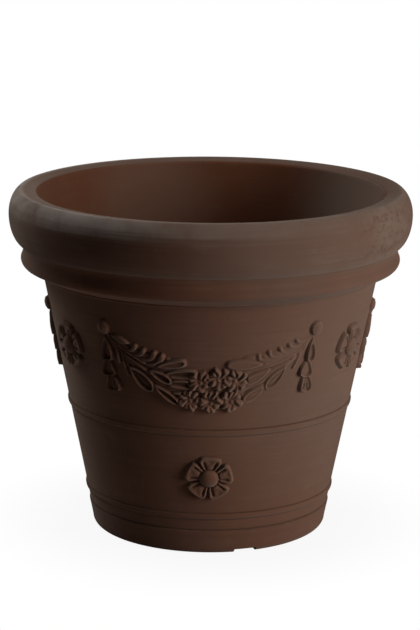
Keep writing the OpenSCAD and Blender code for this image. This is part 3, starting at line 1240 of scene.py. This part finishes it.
class RoundSprig(Sprig):
    """A sprig that fits in a circle."""

    radius: float
    margin = 2

    def extent(self) -> Extent:
        """A square round the sprig."""
        r = self.radius + self.margin
        return -r, r, -r, r


@dataclass
class Knob(RoundSprig):
    """The button that a festoon hangs from."""

    radius: float = 9.4
    proud: float = 6.0

    ring_h = 0.5
    ring_share = 0.62

    def carve(self, carving: Carving) -> None:
        """A round button with a soft shoulder and a shallow ring."""
        r = np.hypot(carving.x, carving.y)
        dome = self.proud * np.sqrt(1 - (0.93 * np.clip(r / self.radius, 0, 1)) ** 2.4)
        ring = self.ring_h * ridge(r - self.ring_share * self.radius, 1.0)
        carving.lay(self.radius - r, dome - ring, edge=1.8)


@dataclass
class HuskDrop(Sprig):
    """Three bell-shaped husks, one in the mouth of the next, hanging below a knob."""

    husks: tuple[Form, ...]
    hem: tuple[tuple[Point, Point], ...]
    length: float = 74.0
    width: float = 26.0

    hem_cut, hem_w = 0.6, 1.1

    def extent(self) -> Extent:
        """A tall box round the husks."""
        return -self.width / 2 - 2, self.width / 2 + 2, -self.length / 2 - 3, self.length / 2 + 1

    def carve(self, carving: Carving) -> None:
        """Lays the husks from the lowest to the highest, and cuts the lowest one's hem."""
        lowest, *others = self.husks
        lowest.lay_on(carving)
        for start, end in self.hem:
            u, v, length = along(start, end, carving.x, carving.y)
            near = np.hypot(u - np.clip(u, 0, length), v)
            carving.sink(self.hem_cut * ridge(near, self.hem_w))
        for husk in others:
            husk.lay_on(carving)


LEFT_HUSKS = (
    HollowDrop((-2, -6), (4, -37.5), 24, 2.6, 2.6, end_share=0.2, taper=0.35),
    Strand((-1, -8), (1, -22), (2, -32), 2.6, 2.0, 2.4, 4.0),
    Strand((-2, -8), (-7, -20), (-9, -31), 2.4, 1.6, 2.4, 4.0),
    HollowDrop((-3.5, 11), (-2, -18), 23, 3.4, 2.6, point_share=0.9, end_share=0.26, taper=0.35),
    Strand((-2, 8), (1, -3), (6, -14), 2.4, 1.6, 2.4, 4.2),
    HollowDrop((-1, 38), (0, 3), 20, 3.4, 2.6, point_share=1.0, end_share=0.28, taper=0.3),
)
LEFT_HEM = (((1.5, -26), (-2, -40)), ((4.5, -26), (9, -40)))
RIGHT_HUSKS = (
    HollowDrop((-4, -6), (-2, -37.5), 20, 1.5, 1.6, point_share=0.8, end_share=0.22, taper=0.5),
    Strand((-4, -8), (-3, -22), (-3, -33), 2.6, 2.0, 2.4, 3.6),
    HollowDrop((-3, 9), (-7, -17), 21, 1.9, 1.6, point_share=0.9, end_share=0.3, taper=0.5),
    HollowDrop((-1, 38), (-2, 3), 15, 1.9, 1.6, point_share=1.0, end_share=0.32, taper=0.5),
)
RIGHT_HEM = (((-5, -27), (-8, -40)), ((-1, -27), (2, -40)))


@dataclass
class Garland(Sprig):
    """Half a garland, from its knob down to the blossoms; the right half is lower and softer."""

    hand: Hand
    forms: tuple[Form, ...]
    blossoms: list[Place]

    reach = (-60, 58, -44, 50)
    worn = 1.0
    right_soften, right_fullness, right_worn = 2, 0.95, 2.4

    def __post_init__(self) -> None:
        """Wears the right half."""
        if self.hand is Hand.right:
            self.soften, self.fullness = self.right_soften, self.right_fullness
            self.worn = self.right_worn

    def extent(self) -> Extent:
        """A box round the leaves, turned over for the left hand."""
        inner, outer, low, high = self.reach
        return self.reach if self.hand is Hand.right else (-outer, -inner, low, high)

    def carve(self, carving: Carving) -> None:
        """Lays the strands, the leaves and the hollow drops in order."""
        mirrored = Carving(carving.x * self.hand.value, carving.y, self.worn)
        for form in self.forms:
            form.lay_on(mirrored)
        carving.h = mirrored.h
        carving.clear(self.blossoms)


@dataclass
class Blossoms(Sprig):
    """Six overlapping blossoms at the bottom of a festoon."""

    places: tuple = ((-12, 12), (12, 15), (32, 12), (-24, -13), (1, -15), (26, -14))
    order: tuple = (3, 0, 5, 1, 4, 2)
    radius: float = 15.0
    petals: int = 9
    turn: float = 13.0
    end_r: float = 4.4
    disc_r: float = 12.8
    crown_h: float = 7.2

    reach = (-42, 50, -33, 33)
    soften = 2
    warp = 1.3
    uneven_h = 1.2
    middle_dip, rim_fall = 1.4, 2.0
    slit_w, slit_h = 1.35, 5.6
    least_h = 0.8

    def extent(self) -> Extent:
        """A box round the group."""
        return self.reach

    def carve(self, carving: Carving) -> None:
        """Lays the blossoms over one another."""
        for index in self.order:
            self.lay_blossom(carving, *self.places[index], index)

    def lay_blossom(self, carving: Carving, cx: float, cy: float, index: int) -> None:
        """Carves one blossom: a round of plump petals with slits that deepen upwards.

        Args:
            carving: The heights.
            cx: Its middle, to the right.
            cy: Its middle, up the wall.
            index: Its number, which turns it and sets its petals' uneven heights.
        """
        # The index shifts every wave below, so that no two blossoms are alike.
        dx = carving.x - cx + self.warp * np.sin(0.42 * carving.y + 1.1 * index)
        dy = carving.y - cy + self.warp * np.sin(0.47 * carving.x + 1.7 * index)
        r = np.hypot(dx, dy)
        pitch = math.tau / self.petals
        angle = np.arctan2(dy, dx) - math.radians(self.turn * index)
        angle = angle + 0.16 * np.sin(2 * angle + 1.3 * index)
        angle = angle + 0.07 * np.sin(3.7 * r / self.radius + index)
        petal = np.floor(angle / pitch + 0.5)
        off = angle - petal * pitch
        side, ahead = np.abs(r * np.sin(off)), r * np.cos(off)
        inside = self.end_r - np.hypot(np.maximum(ahead - self.radius + self.end_r, 0), side)
        inside = np.maximum(inside, self.disc_r - r)
        uneven = self.uneven_h * np.sin(2.4 * (petal % self.petals) + 1.9 * index)
        swell = self.crown_h + uneven * ease((r - 2) / 6)
        swell = swell - self.middle_dip * (1 - ease(r / 6.5)) - self.rim_fall * ease((r - 9) / 7)
        slit = ridge(r * np.sin(pitch / 2 - np.abs(off)), self.slit_w) * ease((r - 1.0) / 2.6)
        slit = slit * (0.45 + 0.55 * ease((dy + 5) / 10)) * (1 - 0.5 * ease((r - 10.5) / 3))
        flank = np.clip(side / np.maximum(0.4 * ahead, 1), 0, 1) ** 2
        crown = np.maximum(swell - 0.8 * flank - self.slit_h * slit, self.least_h)
        carving.lay(inside, crown, groove=0.5, groove_w=1.3)


@dataclass
class Rosette(RoundSprig):
    """Five broad petals with two grooves each, round a domed boss."""

    radius: float = 31.0
    petals: int = 5
    boss_r: float = 12.4
    boss_proud: float = 9.0
    half_angle: float = 31.0
    turn: float = -4.0

    petal_h, lip_h, end_fall = 4.0, 1.1, 1.3
    roll_h, roll_in, roll_w = 0.9, 2.0, 1.3
    groove_turn, groove_h = math.radians(19.5), 2.5
    dimple_r, dimple_h, dimple_w = 23, 1.1, 1.9
    belly_h, belly_w = 0.5, 2.6
    least_h = 1.0

    def carve(self, carving: Carving) -> None:
        """Lays the petals, their grooves and the boss."""
        r = np.hypot(carving.x, carving.y)
        pitch = math.tau / self.petals
        angle = np.arctan2(carving.y, carving.x) - math.pi / 2 - math.radians(self.turn)
        off = (angle + pitch / 2) % pitch - pitch / 2
        side, ahead = r * np.sin(off), r * np.cos(off)

        # Outline: broad, nearly flat ends with a slight dip, parted by gaps that widen outwards.
        t = np.abs(off) / math.radians(self.half_angle)
        dip = 0.045 * np.cos(np.clip(t, 0, 1) * math.pi / 2) ** 2
        edge_r = self.radius * (1 - dip - 0.11 * np.clip(t, 0, 1.2) ** 6)
        gap = 0.35 + 1.9 * np.clip((r - 13) / 18, 0, 1) ** 1.4
        beside = r * np.sin(pitch / 2 - np.abs(off)) - gap
        inside = soft_min(edge_r - r, beside, 3.0)

        # Relief: a raised lip, a rolled edge, two grooves, a dimple and a middle belly.
        crown = self.petal_h + self.lip_h * ease((r - 17) / 7) - self.end_fall * ease((r - 25) / 7)
        crown = crown + self.roll_h * ridge(inside - self.roll_in, self.roll_w)
        g_along = r * np.cos(np.abs(off) - self.groove_turn)
        g_side = r * np.sin(np.abs(off) - self.groove_turn)
        g_near = np.hypot(g_along - np.clip(g_along, 13.5, 22.5), g_side)
        g_width = 1.9 + 0.09 * (np.clip(g_along, 13, 23) - 13)
        crown = crown - self.groove_h * (1 - ease((g_near - 0.3) / g_width))
        dimple = np.hypot((ahead - self.dimple_r) / 1.6, side / 2.2)
        crown = crown - self.dimple_h * ridge(dimple, self.dimple_w)
        crown = crown + self.belly_h * ridge(side, self.belly_w) * ease((24 - r) / 6)
        carving.lay(inside, np.maximum(crown, self.least_h), edge=2.2)

        share = np.clip(r / self.boss_r, 0, 1)
        dome = self.boss_proud * np.sqrt(1 - (0.96 * share) ** 2.1)
        carving.lay(self.boss_r - r, dome, groove=0.5, groove_w=1.2)


LEFT_FORMS = (
    Strand((48, 40), (12, 24), (-26, 14), 21, 8, 3.0, 3.4),
    Strand((30, 22), (-6, -3), (-44, -22), 26, 9, 2.2, 2.6),
    Leaf((50, 45), (21, 38), 9.5),
    Strand((30, 20), (-6, 14), (-21, 25.5), 8.5, crease=0.5),
    Strand((34, 25), (2, 19.5), (-11.5, 29), 8, crease=0.5),
    Strand((38, 29), (14, 24), (2.5, 31.5), 7.5, crease=0.5),
    Strand((44, 35), (24, 29), (13.5, 35.5), 7, crease=0.5),
    HollowDrop((-12, 12), (-50, 18.5), 13, 1.0, 1.2, point_share=0.6, end_share=0.28),
    Strand((41.5, 32), (39, 23), (37, 12), 5),
    Strand((34, 25), (31, 12), (25, -4), 5.5),
    Strand((28, 17), (25, 8), (18.5, -2), 4.5),
    HollowDrop((-22, 2), (-64, 3), 14.5, 3.2, point_share=0.45, end_share=0.3),
    HollowDrop((-21, -9), (-64, -12), 14, 3.2, point_share=0.45, end_share=0.3),
    HollowDrop((-24, -24), (-60, -29), 12.5, 3.2, point_share=0.45, end_share=0.3),
    Leaf((-32, -35), (-54, -44), 7),
    Strand((52, 41), (22, 19), (-24, -10), 4.4, 3.2, 3.4, 4.4),
    Strand((54, 46), (32, 30), (2, 15), 3.6, 3.0, 3.6, 4.4),
    HollowDrop((-5, -10), (-39, -38), 13),
    HollowDrop((-2, 7), (-31.5, -8.5), 14.5),
    HollowDrop((24, 9), (-6.5, -21), 20.5, 3.4, seed=2.4),
)
RIGHT_FORMS = (
    Strand((48, 40), (12, 25), (-30, 17), 22, 9, 3.2, 3.6),
    Strand((28, 20), (-8, -2), (-44, -22), 28, 9, 2.6, 3.0),
    Strand((50, 44), (38, 40), (30, 42), 6, 3, 3.2, 4.4),
    Strand((42, 36), (28, 34), (20, 37.5), 6.5, 3, 3.2, 4.4),
    Strand((36, 30), (16, 29), (8, 34), 7, 3, 3.2, 4.4),
    Strand((30, 24), (2, 24), (-6, 30.5), 7.5, 3, 3.2, 4.5),
    Strand((22, 19), (-11, 20), (-19, 26.5), 8, 3, 3.2, 4.5),
    HollowDrop((-12, 16), (-58, 15), 15, 0.4, 1.2, point_share=0.6, end_share=0.35),
    Leaf((54, 47), (33, 21), 8),
    Strand((40, 32), (36, 20), (29, 6), 5, 3, 3.2, 4.0),
    HollowDrop((-22, 4), (-64, -6), 14, 1.4, 0.8, point_share=0.5, end_share=0.3),
    Leaf((-26, -16), (-47, -42), 12),
    Strand((54, 45), (20, 21), (-42, 4), 4.2, 3.4, 3.2, 4.2),
    HollowDrop((-4, -9), (-36, -34), 16, 0.6, 1.6, 0.9),
    HollowDrop((-1, 9), (-38, -10), 15, 0.6, 1.6, 0.9),
    HollowDrop((20, 12), (-8, -18), 17.5, 2.4, 2.0, 1.6),
)
SIDES = (
    (Hand.left, LEFT_FORMS, HuskDrop(LEFT_HUSKS, LEFT_HEM)),
    (Hand.right, RIGHT_FORMS, HuskDrop(RIGHT_HUSKS, RIGHT_HEM)),
)


class Festoons:
    """The three festoons: their knobs, husk drops, garlands and blossoms."""

    garland_share = 0.59
    garland_rise = 17 * MM
    sag = 73 * MM
    knob_r = 11.5 * MM
    knob_proud = 8 * MM
    drop_half = 37 * MM
    knob_out = 2 * MM
    knob_low = 2.2 * MM
    petal_overlap = 0.6

    def __init__(self, lines: PotLines, finish: Material) -> None:
        """Reads the front festoon's places from the frame.

        Args:
            lines: The pot's lines.
            finish: The clay that the sprigs are made of.
        """
        self.lines = lines
        self.finish = finish
        knob = Seat.of_node("knob_right_front")
        self.turn = knob.azimuth
        self.knob_z = knob.z + self.knob_proud / 2 * math.sin(lines.lean)
        self.drop_z = self.knob_z - (self.knob_r + self.drop_half) * math.cos(lines.lean)
        self.cluster = Seat(0, self.knob_z - self.sag)

    def sprigs(self) -> list[tuple[str, Sprig, Seat]]:
        """Each sprig of the front festoon, by its node's name and its seat."""
        made: list[tuple[str, Sprig, Seat]] = []
        blossoms = Blossoms()
        knob_step = math.degrees(self.knob_out / self.lines.wall_r(self.knob_z))
        for hand, forms, husks in SIDES:
            side = hand.value * self.turn
            seat = Seat(side * self.garland_share, self.cluster.z + self.garland_rise)
            garland = Garland(hand, forms, self.circles_on(seat, blossoms))
            made.append((f"garland_{hand.name}", garland, seat))
            made.append((f"drop_{hand.name}", husks, Seat(side, self.drop_z)))
            knob_seat = Seat(side + hand.value * knob_step, self.knob_z - self.knob_low)
            made.append((f"knob_{hand.name}", Knob(), knob_seat))
        made.append(("blossoms", blossoms, self.cluster))
        return made

    def circles_on(self, seat: Seat, blossoms: Blossoms) -> list[Place]:
        """Where the blossoms cover a garland.

        Args:
            seat: The garland's seat.
            blossoms: The blossoms.

        Returns:
            A circle for each blossom on the garland's plane: its middle and radius in millimetres.
        """
        circles = []
        for x, y in blossoms.places:
            flat = (np.array([v]) for v in (x * MM, y * MM, 0.0))
            right, up = seat.unwrap(self.lines, self.cluster.wrap(self.lines, *flat)[0])
            circles.append((right / MM, up / MM, blossoms.disc_r - self.petal_overlap))
        return circles

    def build(self) -> None:
        """Carves the front festoon and repeats it on the other panels."""
        for name, sprig, seat in self.sprigs():
            piece = sprig.build(f"{name}_front_sprig", seat, self.lines)
            repeat_round(piece, name, self.finish)


def repeat_round(first: Piece, name: str, finish: Material) -> None:
    """Dresses a front sprig and its copies on the east and west panels.

    Args:
        first: The front sprig.
        name: The nodes' shared name, without the panel.
        finish: Its material.
    """
    for panel in Panel:
        piece = first
        if panel is not Panel.front:
            mesh = first.data.copy()
            mesh.transform(Matrix.Rotation(math.radians(panel.value), 4, "Z"))
            mesh.name = f"{name}_{panel.name}_sprig"
            piece = bpy.data.objects.new(mesh.name, mesh)
            bpy.context.scene.collection.objects.link(piece)
        seat_piece(piece, finish, "clay", f"{name}_{panel.name}")


class Rosettes:
    """The lower rosettes under the festoons and the upper ones between them."""

    def __init__(self, lines: PotLines, finish: Material) -> None:
        """Keeps the pot's lines and the clay."""
        self.lines = lines
        self.finish = finish

    def build(self) -> None:
        """Carves one rosette of each row and repeats it round the pot."""
        lower = Seat(0, Seat.of_node("lower_rosette_front").z)
        piece = Rosette().build("lower_rosette_front_sprig", lower, self.lines)
        repeat_round(piece, "lower_rosette", self.finish)
        upper_z = Seat.of_node("upper_rosette_right").z
        for name, turn in (("right", 60), ("back", 180), ("left", 300)):
            piece = Rosette().build(f"upper_rosette_{name}_sprig", Seat(turn, upper_z), self.lines)
            seat_piece(piece, self.finish, "clay", f"upper_rosette_{name}")


# Studio


@dataclass(frozen=True)
class Camera:
    """The photograph's viewpoint, fitted on the pot's own circles and levels."""

    distance: float = 2.951
    height: float = 0.962
    pitch: float = 13.183
    roll: float = 0.392
    lens: float = 135.15
    sensor_h: float = 36
    clip_end: float = 60

    def build(self) -> None:
        """Makes the scene's camera."""
        data = bpy.data.cameras.new("camera")
        data.sensor_fit = "VERTICAL"
        data.sensor_height = self.sensor_h
        data.lens = self.lens
        data.clip_end = self.clip_end
        camera = bpy.data.objects.new("camera", data)
        aim = Matrix.Rotation(math.radians(90 - self.pitch), 4, "X")
        tilt = Matrix.Rotation(math.radians(self.roll), 4, "Z")
        camera.matrix_world = Matrix.Translation((0, -self.distance, self.height)) @ aim @ tilt
        bpy.context.scene.collection.objects.link(camera)
        bpy.context.scene.camera = camera


@dataclass(frozen=True)
class SoftBox:
    """A large soft lamp, placed round the pot and aimed at it."""

    name: str
    azimuth: float
    elevation: float
    distance: float
    size: tuple[float, float]
    power: float
    aim_z: float = 0.25

    def build(self) -> None:
        """Makes the lamp."""
        data = bpy.data.lights.new(self.name, "AREA")
        data.shape = "RECTANGLE"
        data.size, data.size_y = self.size
        data.energy = self.power
        lamp = bpy.data.objects.new(self.name, data)
        turn, rise = math.radians(self.azimuth), math.radians(self.elevation)
        aim = Vector((0, 0, self.aim_z))
        flat = math.cos(rise)
        arm = Vector((math.sin(turn) * flat, -math.cos(turn) * flat, math.sin(rise)))
        lamp.location = aim + arm * self.distance
        lamp.rotation_euler = arm.to_track_quat("Z", "Y").to_euler()
        bpy.context.scene.collection.objects.link(lamp)


class Studio:
    """A pale floor, a white surround and soft lamps."""

    floor_half = 20.0
    floor_colour = (0.45, 0.45, 0.45, 1)
    floor_least, floor_fade = 0.92, (0.14, 0.34)
    lamps = (
        SoftBox("key_right", 60, 12, 2.4, (1.2, 1.4), 66),
        SoftBox("low_left", -130, 12, 2.4, (1.0, 1.2), 9),
        SoftBox("high_left", -125, 40, 2.4, (1.0, 1.2), 18),
        SoftBox("side_left", -105, 45, 2.4, (1.0, 1.2), 5),
        SoftBox("overhead", 0, 89, 1.7, (0.7, 0.7), 6),
    )

    def build(self) -> None:
        """Makes the floor, the world, the lamps and the camera."""
        self.build_floor()
        self.build_world()
        for lamp in self.lamps:
            lamp.build()
        Camera().build()
        bpy.context.scene.view_settings.view_transform = "Standard"

    def build_floor(self) -> None:
        """A wide pale floor that fades to white away from the pot."""
        bm = bmesh.new()
        bmesh.ops.create_grid(bm, x_segments=8, y_segments=8, size=self.floor_half)
        floor = finish_mesh(bm, "floor")
        n = Nodes(bpy.data.materials.new("pale_floor"))
        away = n.vector("LENGTH", n.add("ShaderNodeTexCoord").outputs["Object"])
        faded = n.band(away, self.floor_fade)
        faded = n.math("MULTIPLY_ADD", faded, 1 - self.floor_least, self.floor_least)
        matt = n.add("ShaderNodeBsdfDiffuse", {"Color": self.floor_colour}).outputs[0]
        white = n.add("ShaderNodeEmission", {"Strength": 1.0}).outputs[0]
        share = n.math("MULTIPLY", faded, n.shown())
        mixed = n.add("ShaderNodeMixShader", {0: share, 1: matt, 2: white}).outputs[0]
        n.add("ShaderNodeOutputMaterial", {"Surface": mixed})
        floor.data.materials.append(n.owner)

    def build_world(self) -> None:
        """A surround that looks white and lights nothing."""
        world = bpy.data.worlds.new("surround")
        bpy.context.scene.world = world
        n = Nodes(world)
        white = n.add("ShaderNodeBackground", {"Strength": n.shown()}).outputs[0]
        n.add("ShaderNodeOutputWorld", {"Surface": white})


CLAY = ClayFinish(
    name="brown_clay", body=(0.078, 0.0300, 0.0175), warm=(0.088, 0.033, 0.0175),
    bloom=(0.125, 0.072, 0.050), dark=(0.034, 0.012, 0.006), bloom_share=0.25, streak_share=0.12,
    # Painted light: a pool on the key-lit right front and one on the lamp-lit left side.
    hazes=(Haze((0.25, -0.19, 0.2), 0.33, 0.36), Haze((-0.21, -0.03, 0.22), 0.13, 0.35)),
)
COLLAR_CLAY = ClayFinish(
    name="collar_clay", body=(0.072, 0.0270, 0.0152), warm=(0.084, 0.029, 0.0145),
    bloom=(0.120, 0.066, 0.045), dark=(0.034, 0.012, 0.006), bloom_share=0.3, streak_share=0.12,
    gloss=0.003, dust=0.08,
    # Painted light: a pool on the key-lit right front and one on the lamp-lit left side.
    hazes=(Haze((0.20, -0.22, 0.36), 0.28, 0.33), Haze((-0.25, -0.03, 0.35), 0.14, 0.4)),
)
RIM_CLAY = ClayFinish(
    name="rim_clay", body=(0.072, 0.0295, 0.0175), warm=(0.062, 0.0225, 0.0125),
    bloom=(0.150, 0.110, 0.088), dark=(0.036, 0.014, 0.008), bloom_share=0.25, streak_share=0.2,
    # Painted highlight, partly dust bloom, on the rim's left shoulder.
    scuff_share=0.7, shoulder_bloom=0.9, dust=0.13,
    # Painted light: pools on the key-lit right of the rim and on its lamp-lit left.
    hazes=(
        Haze((0.16, -0.22, 0.41), 0.26, 0.34), Haze((0.222, -0.112, 0.418), 0.09, 0.35),
        Haze((-0.25, -0.03, 0.41), 0.14, 0.35),
    ),
)
INNER_CLAY = ClayFinish(
    name="inner_clay", body=(0.092, 0.0335, 0.0165), warm=(0.100, 0.035, 0.0165),
    bloom=(0.115, 0.066, 0.046), dark=(0.044, 0.016, 0.007), bloom_share=0.2, streak_share=0.04,
    # Painted light: pale pools on the inner wall where the lamps reach inside, in a paler tint of
    # their own.
    dust=0.06, haze=(0.135, 0.088, 0.068),
    hazes=(Haze((-0.085, 0.20, 0.38), 0.12, 0.35), Haze((0.20, 0.08, 0.40), 0.16, 1.0)),
)


def main() -> None:
    """Builds the pot, its sprigs and the studio, in that order."""
    logging.basicConfig(level=logging.INFO, format="%(name)s: %(message)s")
    lines = PotLines.from_frame()
    clay, rim_clay, inner_clay = CLAY.material(), RIM_CLAY.material(), INNER_CLAY.material()
    slab = FloorSlab(lines)
    slab.dress(slab.build(), inner_clay, "inner_clay")
    for ring in (FootRing(lines), Bead(lines, "lower_bead", lines.low_bead),
                 Bead(lines, "upper_bead", lines.up_bead)):
        ring.dress(ring.build(), clay)
    wall, collar, rim = Wall(lines), Collar(lines), RimRoll(lines)
    wall_piece, rim_piece = wall.build(), rim.build()
    wall.dress(wall_piece, clay)
    line_inside(wall_piece, inner_clay)
    collar.dress(collar.build(), COLLAR_CLAY.material())
    rim.dress(rim_piece, rim_clay, "rim_clay")
    line_inside(rim_piece, inner_clay)
    Festoons(lines, clay).build()
    Rosettes(lines, clay).build()
    Studio().build()


if __name__ == "__main__":
    main()
